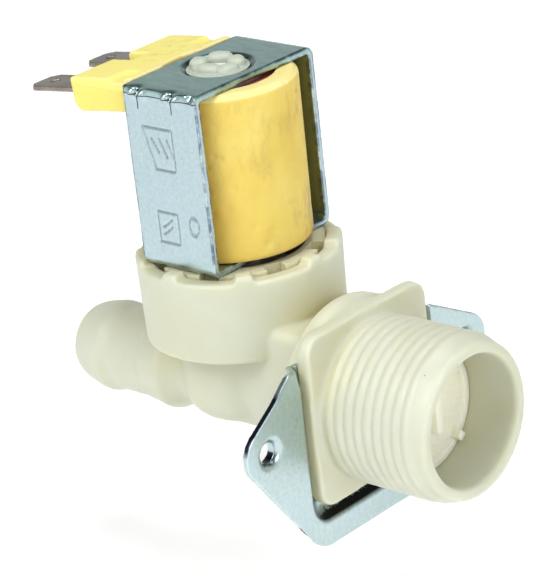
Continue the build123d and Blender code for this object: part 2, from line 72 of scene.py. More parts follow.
# ---- the valve's own stations, read from the frame -------------------------------------------
def middle(node):
    low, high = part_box(node)
    return (low + high) / 2


SOLENOID = middle("plunger")            # a point on the solenoid's axis
AXIS_X = SOLENOID.x / MM                # the solenoid's axis in millimetres
YOKE_LOW, YOKE_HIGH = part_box("yoke")


# ---- camera ----------------------------------------------------------------------------------
AZIMUTH, ELEVATION, ROLL = (math.radians(a) for a in (43.80, 22.01, -6.44))
CAMERA_DISTANCE = 461.95 * MM
CAMERA_LENS = 182.48
AIM_RIGHT, AIM_UP = 3.90 * MM, 11.90 * MM


def add_camera():
    """Camera above and beside the inlet's mouth, aimed near where the two axes cross."""
    back = Vector((
        math.sin(AZIMUTH) * math.cos(ELEVATION),
        -math.cos(AZIMUTH) * math.cos(ELEVATION),
        math.sin(ELEVATION),
    ))
    level_right = Vector((math.cos(AZIMUTH), math.sin(AZIMUTH), 0))
    level_up = back.cross(level_right)
    right = level_right * math.cos(ROLL) + level_up * math.sin(ROLL)
    up = -level_right * math.sin(ROLL) + level_up * math.cos(ROLL)
    data = bpy.data.cameras.new("camera")
    data.sensor_width = 36
    data.lens = CAMERA_LENS
    data.clip_start, data.clip_end = 0.01, 10
    camera = bpy.data.objects.new("camera", data)
    bpy.context.scene.collection.objects.link(camera)
    aim = Vector((SOLENOID.x, 0, 0))
    place = aim + back * CAMERA_DISTANCE + right * AIM_RIGHT + up * AIM_UP
    turn = Matrix((right, up, back)).transposed().to_4x4()
    camera.matrix_world = Matrix.Translation(place) @ turn
    bpy.context.scene.camera = camera


# ---- studio ----------------------------------------------------------------------------------
def area_light(name, place, aim, size, power, colour=(1, 1, 1)):
    data = bpy.data.lights.new(name, "AREA")
    data.shape = "RECTANGLE"
    data.size, data.size_y = size
    data.energy = power
    data.color = colour
    light = bpy.data.objects.new(name, data)
    bpy.context.scene.collection.objects.link(light)
    light.location = Vector(place)
    light.rotation_mode = "QUATERNION"
    light.rotation_quaternion = (Vector(aim) - Vector(place)).to_track_quat("-Z", "Y")
    return light


def add_studio():
    """Pale floor, a world with a bright horizon and a dark top, and three soft boxes."""
    floor_z = cad_box[0].z - 14 * MM
    mesh = bpy.data.meshes.new("floor")
    half = 3.0
    mesh.from_pydata(
        [(-half, -half, 0), (half, -half, 0), (half, half, 0), (-half, half, 0)], [], [(0, 1, 2, 3)]
    )
    floor = bpy.data.objects.new("floor", mesh)
    bpy.context.scene.collection.objects.link(floor)
    floor.location.z = floor_z
    floor.data.materials.append(plain("floor_white", (0.88, 0.88, 0.88), 0.9, 0.26))
    world = bpy.data.worlds.new("world")
    bpy.context.scene.world = world
    world.use_nodes = True
    tree = world.node_tree
    background = tree.nodes["Background"]
    direction = tree.nodes.new("ShaderNodeTexCoord").outputs["Generated"]
    height = tree.nodes.new("ShaderNodeSeparateXYZ")
    tree.links.new(direction, height.inputs[0])
    shade = tree.nodes.new("ShaderNodeMapRange")
    shade.inputs["From Min"].default_value = 0.38
    shade.inputs["From Max"].default_value = 0.50
    shade.inputs["To Min"].default_value = 0.72
    shade.inputs["To Max"].default_value = 0.06
    tree.links.new(height.outputs["Z"], shade.inputs["Value"])
    tree.links.new(shade.outputs["Result"], background.inputs["Strength"])
    background.inputs["Color"].default_value = (0.97, 0.99, 1.0, 1)
    aim = (SOLENOID.x, 0, 10 * MM)
    area_light("key", (-0.10, -0.75, 0.80), aim, (0.45, 0.45), 7.6)
    area_light("fill", (0.85, -0.30, 0.45), aim, (0.5, 0.5), 4.4)
    area_light("top", (0.10, 0.15, 0.95), aim, (0.45, 0.4), 4.6)
    bpy.context.scene.view_settings.view_transform = "Standard"


# ---- materials -------------------------------------------------------------------------------
def plain(name, colour, roughness, glow):
    material = bpy.data.materials.new(name)
    material.use_nodes = True
    shader = material.node_tree.nodes["Principled BSDF"]
    shader.inputs["Base Color"].default_value = (*colour, 1)
    shader.inputs["Roughness"].default_value = roughness
    shader.inputs["Emission Color"].default_value = (1, 1, 1, 1)
    shader.inputs["Emission Strength"].default_value = glow
    return material


class Nodes:
    """Short names for building a node material."""

    def __init__(self, name):
        self.material = bpy.data.materials.new(name)
        self.material.use_nodes = True
        self.tree = self.material.node_tree
        self.shader = self.tree.nodes["Principled BSDF"]
        self.place = self.add("ShaderNodeTexCoord").outputs["Object"]

    def add(self, kind, **settings):
        node = self.tree.nodes.new(kind)
        for key, value in settings.items():
            setattr(node, key, value)
        return node

    def link(self, source, target):
        self.tree.links.new(source, target)

    def set(self, **values):
        for key, value in values.items():
            self.shader.inputs[key.replace("_", " ")].default_value = value

    def noise(self, scale, detail=4, roughness=0.55, distortion=0.0, stretch=None):
        node = self.add("ShaderNodeTexNoise")
        node.inputs["Scale"].default_value = scale
        node.inputs["Detail"].default_value = detail
        node.inputs["Roughness"].default_value = roughness
        node.inputs["Distortion"].default_value = distortion
        if stretch:
            mapping = self.add("ShaderNodeMapping")
            mapping.inputs["Scale"].default_value = stretch
            self.link(self.place, mapping.inputs["Vector"])
            self.link(mapping.outputs["Vector"], node.inputs["Vector"])
        else:
            self.link(self.place, node.inputs["Vector"])
        return node.outputs["Fac"]

    def voronoi(self, scale, feature="F1", randomness=1.0):
        node = self.add("ShaderNodeTexVoronoi", feature=feature)
        node.inputs["Scale"].default_value = scale
        node.inputs["Randomness"].default_value = randomness
        self.link(self.place, node.inputs["Vector"])
        return node

    def ramp(self, source, stops):
        node = self.add("ShaderNodeValToRGB")
        band = node.color_ramp
        while len(band.elements) < len(stops):
            band.elements.new(0.5)
        for element, (position, colour) in zip(band.elements, stops):
            element.position = position
            element.color = (*colour, 1) if len(colour) == 3 else colour
        self.link(source, node.inputs["Fac"])
        return node.outputs["Color"]

    def between(self, source, low, high, at=(0, 1)):
        node = self.add("ShaderNodeMapRange")
        node.inputs["From Min"].default_value, node.inputs["From Max"].default_value = at
        node.inputs["To Min"].default_value, node.inputs["To Max"].default_value = low, high
        self.link(source, node.inputs["Value"])
        return node.outputs["Result"]

    def mix(self, factor, first, second, blend="MIX"):
        node = self.add("ShaderNodeMix", data_type="RGBA", blend_type=blend)
        colours = [s for s in node.inputs if s.type == "RGBA"]
        factor_in = [s for s in node.inputs if s.type == "VALUE"][0]
        if isinstance(factor, (int, float)):
            factor_in.default_value = factor
        else:
            self.link(factor, factor_in)
        for value, socket in ((first, colours[0]), (second, colours[1])):
            if isinstance(value, tuple):
                socket.default_value = (*value, 1)
            else:
                self.link(value, socket)
        return [s for s in node.outputs if s.type == "RGBA"][0]

    def math(self, operation, first, second=0.5):
        node = self.add("ShaderNodeMath", operation=operation)
        for value, socket in ((first, node.inputs[0]), (second, node.inputs[1])):
            if isinstance(value, (int, float)):
                socket.default_value = value
            else:
                self.link(value, socket)
        return node.outputs[0]

    def crevice(self, reach):
        """1 in the open, towards 0 where other surfaces stand close."""
        node = self.add("ShaderNodeAmbientOcclusion", samples=6)
        node.inputs["Distance"].default_value = reach
        return node.outputs["AO"]

    def edge(self):
        """About 0.5 on flat faces, more on outer edges and less in hollows."""
        return self.add("ShaderNodeNewGeometry").outputs["Pointiness"]

    def along(self, axis):
        node = self.add("ShaderNodeSeparateXYZ")
        self.link(self.place, node.inputs[0])
        return node.outputs[axis]

    def band(self, source, low, high, soft):
        """1 between low and high, falling to 0 over soft."""
        rise = self.between(source, 0, 1, (low - soft, low))
        fall = self.between(source, 1, 0, (high, high + soft))
        return self.math("MULTIPLY", rise, fall)

    def colour(self, source):
        self.link(source, self.shader.inputs["Base Color"])

    def rough(self, source):
        self.link(source, self.shader.inputs["Roughness"])

    def bump(self, layers):
        """Bump from (height, distance in metres, strength) layers, chained."""
        normal = None
        for height, distance, strength in layers:
            node = self.add("ShaderNodeBump")
            node.inputs["Distance"].default_value = distance
            node.inputs["Strength"].default_value = strength
            self.link(height, node.inputs["Height"])
            if normal is not None:
                self.link(normal, node.inputs["Normal"])
            normal = node.outputs["Normal"]
        self.link(normal, self.shader.inputs["Normal"])


def natural_nylon(name="natural_nylon", light=(0.545, 0.565, 0.465), dark=(0.58, 0.51, 0.25)):
    """Unpigmented polyamide: ivory and cloudy, with painted olive shade in its hollows and a few dark
    specks.
    """
    m = Nodes(name)
    cloud = m.noise(45, 4, 0.55, 0.6)
    fine = m.noise(260, 5, 0.6)
    warm = tuple(c * k for c, k in zip(light, (0.96, 0.95, 0.87)))
    base = m.ramp(cloud, [(0.32, warm), (0.55, light), (0.75, tuple(min(1, c * 1.05) for c in light))])
    base = m.mix(m.between(fine, 0.0, 0.12), base, (0.60, 0.56, 0.38))
    # painted shade: the dark argument's colour goes where other surfaces stand close, weaker towards the
    # inlet's end
    painted_crevice_shade = m.between(m.crevice(9 * MM), 0.56, 0.0, (0.30, 0.92))
    inlet = m.between(m.along("X"), 1.0, 0.4, (5 * MM, 14 * MM))
    base = m.mix(m.math("MULTIPLY", painted_crevice_shade, inlet), base, dark)
    speck = m.voronoi(170).outputs["Distance"]
    rare = m.between(m.noise(60, 2), 0, 1, (0.51, 0.56))
    dot = m.math("MULTIPLY", m.between(speck, 0.8, 0, (0.012, 0.03)), rare)
    m.colour(m.mix(dot, base, (0.22, 0.16, 0.07)))
    m.rough(m.between(fine, 0.36, 0.54))
    m.set(Subsurface_Weight=0.45, Subsurface_Scale=0.003, Specular_IOR_Level=0.4, IOR=1.53)
    m.shader.inputs["Subsurface Radius"].default_value = (1.0, 0.9, 0.45)
    m.bump([(cloud, 0.0003, 0.25), (fine, 0.00006, 0.35), (m.noise(1100, 3, 0.5), 0.00003, 0.25)])
    return m.material


def coil_yellow():
    """Moulded casing: painted golden shade towards its hollows, pale at worn edges, with smudges and
    scuffs.
    """
    m = Nodes("coil_yellow")
    cloud = m.noise(70, 5, 0.6, 0.5)
    golden, yellow, pale = (0.62, 0.44, 0.07), (0.69, 0.52, 0.10), (0.73, 0.58, 0.15)
    base = m.ramp(cloud, [(0.30, golden), (0.52, yellow), (0.74, pale)])
    # painted shade: deeper golden where other surfaces stand close
    base = m.mix(m.between(m.crevice(8 * MM), 0.75, 0.0, (0.30, 0.96)), base, (0.48, 0.28, 0.02))
    rim_light = m.between(m.along("Z"), 0, 0.7, (YOKE_HIGH.z - 2.15 * MM, YOKE_HIGH.z - 1.95 * MM))
    base = m.mix(rim_light, base, (0.84, 0.75, 0.33))
    # painted light: the brightly lit block at the casing's side turned lemon
    painted_block_light = m.between(m.along("X"), 0.75, 0, ((AXIS_X - 10.5) * MM, (AXIS_X - 8.5) * MM))
    base = m.mix(painted_block_light, base, (0.80, 0.72, 0.17))
    scuff = m.between(m.noise(400, 7, 0.72, 0.3, (1.0, 1.0, 0.45)), 0.0, 0.8, (0.50, 0.68))
    area = m.between(m.noise(75, 3), 0, 1, (0.47, 0.57))
    far_side = m.between(m.along("Y"), 0, 1, (-2 * MM, 5 * MM))
    upper = m.band(m.along("Z"), 42.5 * MM, 46.5 * MM, 2 * MM)
    lower = m.band(m.along("Z"), 23.5 * MM, 29.5 * MM, 2.5 * MM)
    handled = m.math("MULTIPLY", m.math("MAXIMUM", upper, lower), far_side)
    smudge = m.math("MULTIPLY", scuff, m.math("MAXIMUM", m.math("MULTIPLY", area, 0.35), handled))
    base = m.mix(smudge, base, (0.33, 0.22, 0.09))
    edge_wear_and_shade = m.between(m.edge(), 0.0, 0.85, (0.515, 0.56))
    m.colour(m.mix(edge_wear_and_shade, base, (0.86, 0.74, 0.36)))
    m.rough(m.between(m.noise(300, 4, 0.6), 0.48, 0.70))
    m.set(Subsurface_Weight=0.1, Subsurface_Scale=0.001)
    m.bump([(scuff, -0.00006, 0.5), (cloud, 0.0001, 0.3), (m.noise(1300, 3), 0.00003, 0.3)])
    return m.material


def yoke_details(m, base, streak):
    """Painted dark reflection along the edges, painted shade in the dish, the staked joint's lines,
    painted shade in its pits, and a darker, greener top plate.
    """
    across = m.math("SUBTRACT", m.along("X"), SOLENOID.x)
    # painted dark reflection along the outer edges, broken up by noise and left off near the hole
    margin = m.between(m.math("ABSOLUTE", across), 0, 1, (6.5 * MM, 6.9 * MM))
    broken = m.math("MULTIPLY", m.between(m.noise(500, 5, 0.7), 0.1, 0.9, (0.42, 0.58)), margin)
    edge_wear_and_shade = m.between(m.edge(), 0, 0.9, (0.503, 0.514))
    base = m.mix(m.math("MULTIPLY", edge_wear_and_shade, broken), base, (0.07, 0.09, 0.14))
    along_y = m.along("Y")
    square = m.math("ADD", m.math("MULTIPLY", across, across), m.math("MULTIPLY", along_y, along_y))
    rim = m.band(m.math("SQRT", square), 4.4 * MM, 5.7 * MM, 0.15 * MM)
    dish = m.math("MULTIPLY", rim, m.between(streak, 0.3, 0.9, (0.4, 0.6)))
    high_up = m.between(m.along("Z"), 0, 1, (YOKE_HIGH.z - 1.2 * MM, YOKE_HIGH.z - 1.0 * MM))
    base = m.mix(m.math("MULTIPLY", dish, high_up), base, (0.06, 0.08, 0.09))
    line = m.band(m.along("Z"), SEAM_Z - 0.04 * MM, SEAM_Z + 0.04 * MM, 0.08 * MM)
    plate = m.between(m.along("Y"), 1, 0, (SEAM_Y, SEAM_Y + 0.2 * MM))
    base = m.mix(m.math("MULTIPLY", line, plate), base, (0.03, 0.035, 0.04))
    for stake in STAKES:
        slit = m.band(m.along("X"), (stake - 0.06) * MM, (stake + 0.06) * MM, 0.07 * MM)
        run = m.band(m.along("Z"), YOKE_HIGH.z - 3.4 * MM, YOKE_HIGH.z - 1.1 * MM, 0.1 * MM)
        cut = m.math("MULTIPLY", m.math("MULTIPLY", slit, run), plate)
        base = m.mix(cut, base, (0.02, 0.02, 0.025))
        # painted shade in the pit each stake leaves
        mouth = m.band(m.along("X"), (stake - 0.35) * MM, (stake + 0.35) * MM, 0.35 * MM)
        depth = m.band(m.along("Z"), YOKE_HIGH.z - 1.1 * MM, YOKE_HIGH.z - 0.45 * MM, 0.3 * MM)
        pit = m.math("MULTIPLY", m.math("MULTIPLY", mouth, depth), plate)
        base = m.mix(pit, base, (0.03, 0.03, 0.035))
    # the top plate darker and greener, with streaky dark patches
    top_plate = m.between(m.along("Z"), 0, 1, (YOKE_HIGH.z - 1.1 * MM, YOKE_HIGH.z - 0.2 * MM))
    grain = m.between(m.noise(700, 6, 0.7, 0.2, (0.3, 1.0, 1.0)), 0.85, 1.15, (0.35, 0.65))
    darker_greener_top = m.mix(1.0, base, (0.80, 0.98, 0.86), "MULTIPLY")
    darker_greener_top = m.mix(m.between(grain, 0, 0.3, (0.95, 1.15)), darker_greener_top, (0.12, 0.18, 0.17))
    return m.mix(top_plate, base, darker_greener_top)


def pocket_shading(m, base):
    """Painted dark reflection as a band on the pocket's bottom wall, and painted shade on upward faces,
    the arms' cut edges among them.
    """
    wander = m.between(m.noise(1300, 7, 0.8), -1.3 * MM, 1.3 * MM)
    drop = m.math("ADD", m.along("Z"), wander)
    shadow = m.band(drop, RAMP_LOW, RAMP_LOW + 1.2 * MM, 0.7 * MM)
    sunk = m.between(m.along("X"), 1, 0, (-0.5 * MM, -0.15 * MM))
    base = m.mix(m.math("MULTIPLY", shadow, sunk), base, (0.012, 0.012, 0.016))
    # painted shade on upward-facing faces below the arms' tips
    facing = m.add("ShaderNodeSeparateXYZ")
    m.link(m.add("ShaderNodeNewGeometry").outputs["Normal"], facing.inputs[0])
    upward = m.between(facing.outputs["Z"], 0, 1, (0.30, 0.45))
    sideways = m.between(m.math("ABSOLUTE", facing.outputs["X"]), 1, 0, (0.45, 0.75))
    below = m.between(m.along("Z"), 1, 0, (7.6 * MM, 8.4 * MM))
    painted_upward_shade = m.math("MULTIPLY", m.math("MULTIPLY", upward, sideways), below)
    return m.mix(painted_upward_shade, base, (0.03, 0.035, 0.06))


def zinc_plate(name, tint=(0.475, 0.58, 0.59), seam=False, ramp=False):
    """Bright zinc with fine mottle, faint rolling streaks and dark nicks, painted shade in concave
    creases and painted highlights on the edges.
    """
    m = Nodes(name)
    mottle = m.noise(1500, 7, 0.78)
    broad = m.noise(120, 4, 0.6, 0.3)
    streak = m.noise(420, 5, 0.65, 0.1, (1.0, 1.0, 0.12))
    low, high = tuple(c * 0.87 for c in tint), tuple(min(1.0, c * 1.13) for c in tint)
    base = m.ramp(mottle, [(0.34, low), (0.5, tint), (0.66, high)])
    bluer = tuple(c * k for c, k in zip(tint, (0.82, 0.95, 1.04)))
    base = m.mix(m.between(broad, 0.0, 0.25, (0.4, 0.7)), base, bluer)
    base = m.mix(m.between(streak, 0.0, 0.3, (0.5, 0.7)), base, high)
    nick = m.voronoi(240).outputs["Distance"]
    rare = m.between(m.noise(90, 2), 0, 1, (0.60, 0.66))
    spot = m.math("MULTIPLY", m.between(nick, 1, 0, (0.04, 0.09)), rare)
    base = m.mix(spot, base, (0.06, 0.07, 0.08))
    # painted shade in concave creases
    base = m.mix(m.between(m.edge(), 0.9, 0.0, (0.44, 0.492)), base, (0.05, 0.06, 0.07))
    # painted highlight along the convex edges
    base = m.mix(m.between(m.edge(), 0.0, 0.85, (0.52, 0.57)), base, (0.76, 0.82, 0.85))
    if seam:
        base = yoke_details(m, base, streak)
    if ramp:
        base = pocket_shading(m, base)
    m.colour(base)
    m.rough(m.between(mottle, 0.20, 0.42))
    m.set(Metallic=1.0)
    m.bump([(broad, 0.00012, 0.3), (mottle, 0.00002, 0.5), (streak, 0.00002, 0.3)])
    return m.material


def terminal_metal():
    """Dull plated brass, warmer where the edges have worn."""
    m = Nodes("terminal_metal")
    cloud = m.noise(250, 5)
    base = m.ramp(cloud, [(0.35, (0.21, 0.185, 0.16)), (0.65, (0.34, 0.30, 0.26))])
    m.colour(m.mix(m.between(m.edge(), 0.0, 0.7, (0.51, 0.55)), base, (0.50, 0.38, 0.26)))
    m.rough(m.between(m.noise(500, 5), 0.28, 0.48))
    m.set(Metallic=0.9)
    m.bump([(m.noise(900, 4), 0.00003, 0.3), (cloud, 0.00006, 0.3)])
    return m.material


def moulded(name, dark, light, roughness=(0.4, 0.6), metal=0.0):
    m = Nodes(name)
    cloud = m.noise(150, 5)
    m.colour(m.ramp(cloud, [(0.35, dark), (0.65, light)]))
    m.rough(m.between(m.noise(300, 4), *roughness))
    m.set(Metallic=metal)
    m.bump([(m.noise(1000, 3), 0.00003, 0.3), (cloud, 0.00005, 0.2)])
    return m.material


STAKES = (AXIS_X - 4.6, AXIS_X + 2.3)   # the staked spots of the yoke's joint
RAMP_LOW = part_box("mounting_bracket")[0].z + 3.9 * MM
SEAM_Z, SEAM_Y = YOKE_HIGH.z - 1.15 * MM, YOKE_LOW.y + 0.15 * MM

MATERIALS = {
    "natural_nylon": natural_nylon(),
    "white_nylon": moulded("white_nylon", (0.70, 0.72, 0.60), (0.78, 0.80, 0.70)),
    "strainer_nylon": natural_nylon("strainer_nylon", (0.84, 0.83, 0.73), (0.72, 0.69, 0.52)),
    "cap_white": natural_nylon("cap_white", (0.44, 0.49, 0.42), (0.20, 0.24, 0.20)),
    "zinc_sheet": zinc_plate("zinc_sheet", ramp=True),
    "yoke_zinc": zinc_plate("yoke_zinc", (0.435, 0.545, 0.57), True),
    "coil_yellow": coil_yellow(),
    "bobbin_red": moulded("bobbin_red", (0.16, 0.022, 0.018), (0.26, 0.045, 0.035)),
    "copper_wire": moulded("copper_wire", (0.45, 0.16, 0.07), (0.65, 0.28, 0.14), (0.25, 0.4), 1.0),
    "terminal_metal": terminal_metal(),
    "core_steel": moulded("core_steel", (0.45, 0.45, 0.45), (0.6, 0.6, 0.6), (0.25, 0.4), 1.0),
    "spring_steel": moulded("spring_steel", (0.5, 0.5, 0.5), (0.7, 0.7, 0.7), (0.2, 0.3), 1.0),
    "black_rubber": moulded("black_rubber", (0.015, 0.015, 0.015), (0.03, 0.03, 0.03), (0.5, 0.7)),
}


def dress_nodes():
    """Give every CAD node its slot's material."""
    slots = {row["node"]: row["material_slot"] for row in frame["record"]["subparts"]}
    for node, obj in frame["nodes"].items():
        obj.data.materials.clear()
        obj.data.materials.append(MATERIALS[slots[node]])


# ---- meshes ----------------------------------------------------------------------------------
def add_object(name, mesh):
    obj = bpy.data.objects.new(name, mesh)
    bpy.context.scene.collection.objects.link(obj)
    return obj


def cad_copy(node):
    """A CAD node's mesh in millimetres, with its split vertices joined."""
    source = frame["nodes"][node]
    mesh = source.data.copy()
    mesh.transform(source.matrix_world)
    mesh.transform(Matrix.Scale(1 / MM, 4))
    shape = bmesh.new()
    shape.from_mesh(mesh)
    bmesh.ops.remove_doubles(shape, verts=shape.verts, dist=0.0005)
    shape.to_mesh(mesh)
    shape.free()
    return mesh


def get_points(mesh):
    flat = np.empty(len(mesh.vertices) * 3)
    mesh.vertices.foreach_get("co", flat)
    return flat.reshape(-1, 3)


def set_points(mesh, points):
    mesh.vertices.foreach_set("co", points.ravel())
    mesh.update()


def revoxel(mesh, size):
    """One closed skin round everything in the mesh."""
    scratch = add_object("scratch", mesh)
    fine = scratch.modifiers.new("voxels", "REMESH")
    fine.mode = "VOXEL"
    fine.voxel_size = size
    graph = bpy.context.evaluated_depsgraph_get()
    skin = bpy.data.meshes.new_from_object(scratch.evaluated_get(graph))
    bpy.data.objects.remove(scratch)
    bpy.data.meshes.remove(mesh)
    return skin


def join_meshes(meshes):
    shape = bmesh.new()
    for mesh in meshes:
        shape.from_mesh(mesh)
    whole = bpy.data.meshes.new("joined")
    shape.to_mesh(whole)
    shape.free()
    return whole


def relax(mesh, passes, where=None, rate=0.5):
    """Laplacian smoothing, weighted by where(points) between 0 and 1."""
    points = get_points(mesh)
    ends = np.empty(len(mesh.edges) * 2, dtype=np.int64)
    mesh.edges.foreach_get("vertices", ends)
    ends = ends.reshape(-1, 2)
    a = np.concatenate([ends[:, 0], ends[:, 1]])
    b = np.concatenate([ends[:, 1], ends[:, 0]])
    count = np.maximum(np.bincount(a, minlength=len(points)), 1)
    weight = rate if where is None else rate * where(points)[:, None]
    for _ in range(passes):
        mean = np.stack([np.bincount(a, points[b, i], len(points)) / count for i in range(3)], axis=1)
        points = points + weight * (mean - points)
    set_points(mesh, points)


def step(value, low, high):
    t = np.clip((value - low) / (high - low), 0, 1)
    return t * t * (3 - 2 * t)


def lathe(profile, axis, centre, segments=96):
    """Closed ring or disc from (radius, height) corners round an axis, in millimetres."""
    shape = bmesh.new()
    rings = []
    for i in range(segments):
        t = 2 * math.pi * i / segments
        ring = []
        for radius, height in profile:
            a, b = radius * math.cos(t), radius * math.sin(t)
            spot = (height, a, b) if axis == "X" else (a, b, height)
            ring.append(shape.verts.new(Vector(spot) + Vector(centre)))
        rings.append(ring)
    many = len(profile)
    for i in range(segments):
        here, there = rings[i], rings[(i + 1) % segments]
        for j in range(many):
            k = (j + 1) % many
            shape.faces.new((here[j], there[j], there[k], here[k]))
    bmesh.ops.remove_doubles(shape, verts=shape.verts, dist=0.0005)
    bmesh.ops.recalc_face_normals(shape, faces=shape.faces)
    mesh = bpy.data.meshes.new("lathe")
    shape.to_mesh(mesh)
    shape.free()
    return mesh


def brick(low, high, taper=1.0, turn=0.0):
    """Box between two corners, its +X end scaled by taper in Y, turned about X by degrees."""
    shape = bmesh.new()
    bmesh.ops.create_cube(shape, size=1)
    low, high = Vector(low), Vector(high)
    for vert in shape.verts:
        spot = Vector(low[i] + (vert.co[i] + 0.5) * (high[i] - low[i]) for i in range(3))
        if vert.co.x > 0:
            spot.y *= taper
        vert.co = Matrix.Rotation(math.radians(turn), 3, "X") @ spot
    mesh = bpy.data.meshes.new("brick")
    shape.to_mesh(mesh)
    shape.free()
    return mesh


def helical_ridge(start, end, pitch, root, crest, foot_width, top_width):
    """Right-hand thread ridge about the X axis, fading in and out over a third of a turn."""
    shape = bmesh.new()
    steps_per_turn = 96
    steps = int((end - start) / pitch * steps_per_turn)
    loops = []
    for i in range(steps + 1):
        t = 2 * math.pi * i / steps_per_turn
        x = start + pitch * i / steps_per_turn
        fade = min(1.0, 3.0 * i / steps_per_turn, 3.0 * (steps - i) / steps_per_turn)
        top = root + (crest - root) * fade
        loop = []
        for radius, offset in (
            (root - 0.6, -foot_width / 2), (root, -foot_width / 2), (top, -top_width / 2),
            (top, top_width / 2), (root, foot_width / 2), (root - 0.6, foot_width / 2),
        ):
            loop.append(shape.verts.new((x + offset, radius * math.cos(t), radius * math.sin(t))))
        loops.append(loop)
    for here, there in zip(loops, loops[1:]):
        for j in range(6):
            k = (j + 1) % 6
            shape.faces.new((here[j], here[k], there[k], there[j]))
    shape.faces.new(loops[0][::-1])
    shape.faces.new(loops[-1])
    bmesh.ops.recalc_face_normals(shape, faces=shape.faces)
    mesh = bpy.data.meshes.new("ridge")
    shape.to_mesh(mesh)
    shape.free()
    return mesh


def arc_block(x0, x1, radius, start, end):
    """Solid under an arc about the X axis, closed by the chord between its ends, angles in degrees."""
    shape = bmesh.new()
    sides = []
    for x in (x0, x1):
        ring = []
        for i in range(25):
            t = math.radians(start + (end - start) * i / 24)
            ring.append(shape.verts.new((x, radius * math.cos(t), radius * math.sin(t))))
        sides.append(ring)
    for i in range(25):
        j = (i + 1) % 25
        shape.faces.new((sides[0][i], sides[0][j], sides[1][j], sides[1][i]))
    shape.faces.new(sides[0])
    shape.faces.new(sides[1][::-1])
    bmesh.ops.recalc_face_normals(shape, faces=shape.faces)
    mesh = bpy.data.meshes.new("arc")
    shape.to_mesh(mesh)
    shape.free()
    return mesh


def finish_piece(name, mesh, body, nodes, material):
    """Scale a piece back to metres, smooth-shade it and hand it to its body."""
    mesh.transform(Matrix.Scale(MM, 4))
    mesh.materials.clear()
    mesh.materials.append(material)
    mesh.polygons.foreach_set("use_smooth", [True] * len(mesh.polygons))
    mesh.update()
    obj = add_object(name, mesh)
    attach(obj, body)
    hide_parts(*nodes)
    return obj


# ---- soft mouldings and pressings ------------------------------------------------------------
CUP_R = 16.0                            # outside of the cup that the neck runs into
THREAD_ROOT, THREAD_CREST = 12.78, 13.15
PITCH = 1.814                           # G 3/4, 14 turns to the inch


def make_body():
    """Valve body: rings turned into a true helix, soft fillets where the mouldings meet."""
    mesh = cad_copy("valve_body")
    points = get_points(mesh)
    radius = np.hypot(points[:, 1], points[:, 2])
    crest = (points[:, 0] > 0.9) & (points[:, 0] < 17.75) & (radius > 12.0)
    scale = np.where(crest, THREAD_ROOT / np.maximum(radius, 0.1), 1.0)
    points[:, 1:] *= scale[:, None]
    set_points(mesh, points)
    ridge = helical_ridge(1.5, 17.4, PITCH, THREAD_ROOT, THREAD_CREST, 1.75, 0.9)
    bridge = arc_block(-4.2, -1.2, 14.6, 46, 134)
    mesh = revoxel(join_meshes([mesh, ridge, bridge]), 0.27)
    relax(mesh, 3)

    def joints(p):
        reach = np.hypot(p[:, 0] - AXIS_X, p[:, 1])
        radial = np.hypot(p[:, 1], p[:, 2])
        under = step(-p[:, 2], -5.6, -4.6) * step(-p[:, 0], 6.2, 7.0) * (1 - step(-p[:, 0], 34, 35.5))
        neck = 0.06 * ((np.abs(reach - CUP_R) < 1.1) & (p[:, 0] > -14) & (p[:, 2] > 6.5) & (p[:, 2] < 14))
        back = 0.1 * ((p[:, 0] > -6.6) & (p[:, 0] < -5.0) & (radial < 17))
        saddle = (p[:, 0] > -3.9) & (p[:, 0] < -1.2) & (p[:, 2] > 11.5)
        thread_foot = (p[:, 0] > 0.2) & (p[:, 0] < 2.0) & (radial > 11.6) & (radial < 14.6)
        return np.clip(under + neck + back + saddle + thread_foot, 0, 1)

    relax(mesh, 24, joints)
    return finish_piece("body_moulding", mesh, "valve", ["valve_body"], MATERIALS["natural_nylon"])


POCKET_HALF, POCKET_LOW, POCKET_CORNER = 15.5, -16.4, 3.8
HOLE_Y, HOLE_R = 23.5, 1.65


def make_bracket():
    """Bracket with rolled punched edges, a soft pressed pocket and one arm's tip bent back."""
    mesh = revoxel(cad_copy("mounting_bracket"), 0.2)
    relax(mesh, 3)

    def pressing(p):
        return (1 - step(np.abs(p[:, 1]), 16.4, 17.6)) * step(p[:, 2], -18.6, -17.6)

    points = get_points(mesh)
    normals = np.empty(len(points) * 3)
    mesh.vertices.foreach_get("normal", normals)
    front = normals.reshape(-1, 3)[:, 0] > -0.1
    corner_y = np.abs(points[:, 1]) - (POCKET_HALF - POCKET_CORNER)
    corner_z = POCKET_LOW + POCKET_CORNER - points[:, 2]
    inset = POCKET_CORNER - np.hypot(corner_y, corner_z)
    shallow = -0.85 * np.maximum(inset, 0) - np.where(front, 0, 1.0)
    within = (corner_y > 0) & (corner_z > 0) & (points[:, 0] > -3.4)
    points[:, 0] = np.where(within, np.maximum(points[:, 0], shallow), points[:, 0])
    set_points(mesh, points)
    relax(mesh, 12, pressing)
    points = get_points(mesh)
    hole = np.hypot(np.abs(points[:, 1]) - HOLE_Y, points[:, 2])
    points[:, 0] -= 0.5 * np.exp(-((hole - HOLE_R) / 0.6) ** 2) * (points[:, 0] > -0.6)
    tip = step(points[:, 2], 6.5, 10.0) * step(-points[:, 1], 13.5, 15.0)
    points[:, 0] -= 0.55 * tip
    sag = np.sin(points[:, 1] * 0.31 + 0.6) * np.cos(points[:, 2] * 0.27)
    points[:, 0] -= 0.05 * (sag + 1)
    set_points(mesh, points)
    return finish_piece("bracket_pressing", mesh, "valve", ["mounting_bracket"], MATERIALS["zinc_sheet"])


def near_stroke(x, z, start, end, width):
    """Points within half a width of a straight stroke on the side plate."""
    (a, b), (c, d) = start, end
    length = math.hypot(c - a, d - b)
    along = np.clip(((x - a) * (c - a) + (z - b) * (d - b)) / length ** 2, 0, 1)
    return np.hypot(x - a - along * (c - a), z - b - along * (d - b)) < width / 2


